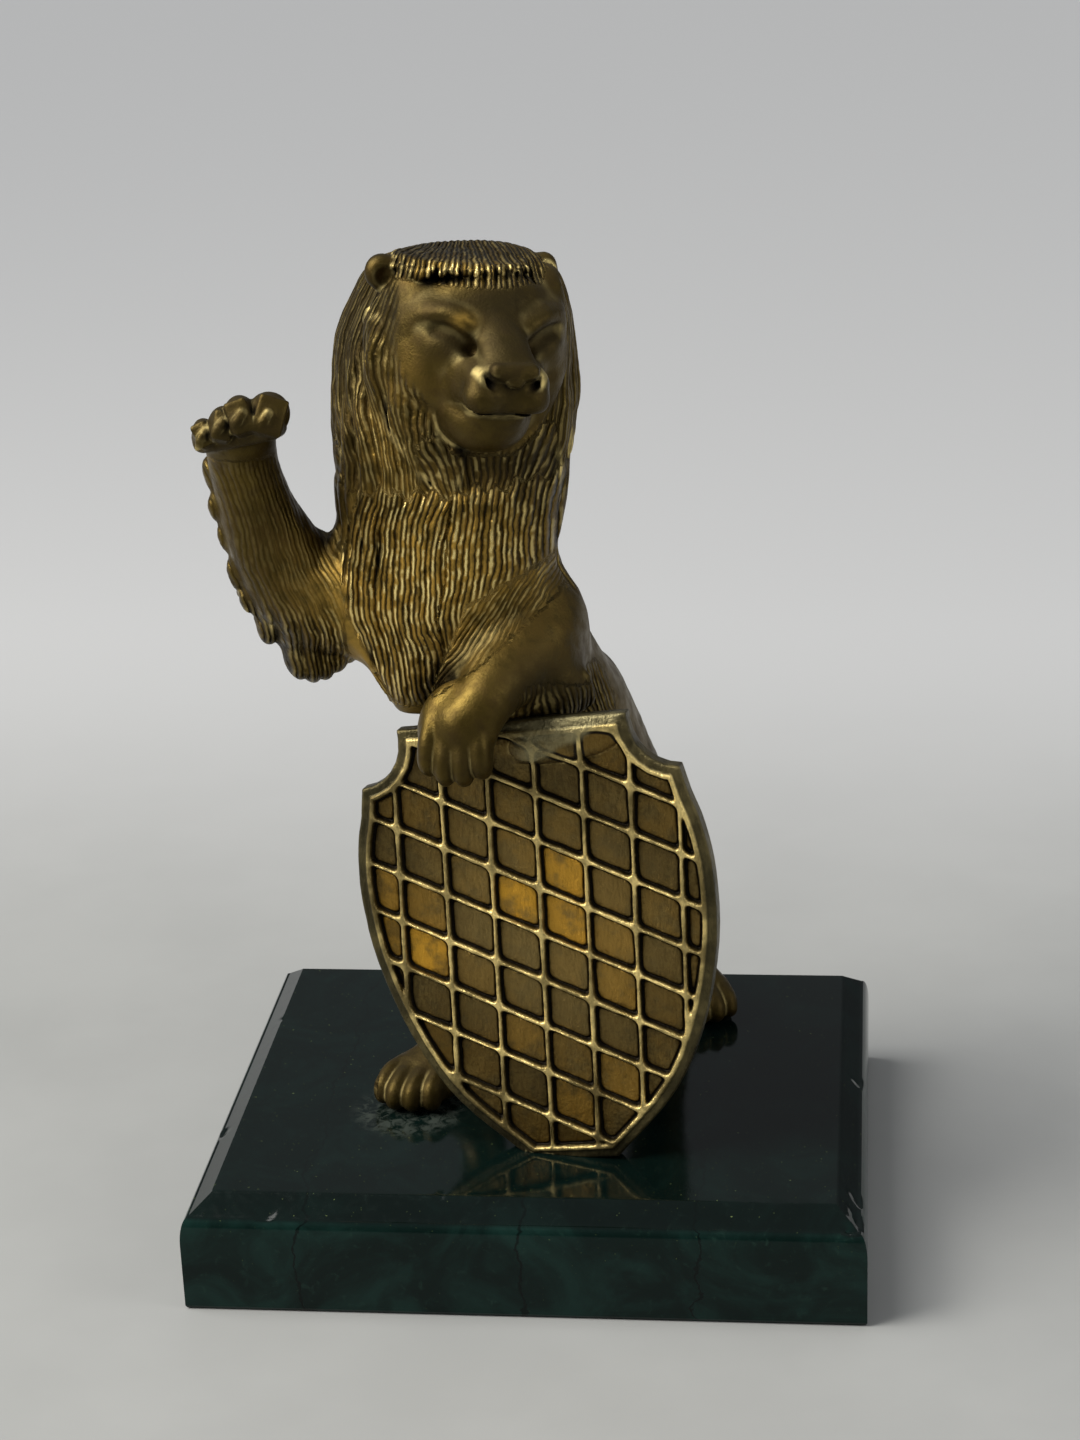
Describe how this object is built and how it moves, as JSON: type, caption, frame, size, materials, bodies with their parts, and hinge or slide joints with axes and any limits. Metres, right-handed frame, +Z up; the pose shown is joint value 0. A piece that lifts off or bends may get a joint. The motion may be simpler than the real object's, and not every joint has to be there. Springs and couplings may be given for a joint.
{
  "type": "brass lion figurine with shield on marble plinth",
  "caption": "Tabletop figure of a standing lion resting a paw on a lattice shield, fixed on a bevelled marble slab; stands on its flat underside.",
  "frame": {"origin": "middle of the slab's flat underside", "axes": "+Z up, -Y the way the lion's chest and the shield's front face, +X to the viewer's right"},
  "size_m": [0.12, 0.1, 0.1803],
  "materials": {
    "marble": "polished, very dark green with lighter mottling and dark veins",
    "lion_brass": "cast, brown patina, rubbed golden on the high places",
    "shield_brass": "cast, olive patina with rubbed bright ridges"
  },
  "bodies": {
    "root": {"marble_plinth": "marble", "lion": "lion_brass", "shield": "shield_brass"}
  },
  "joints": []
}
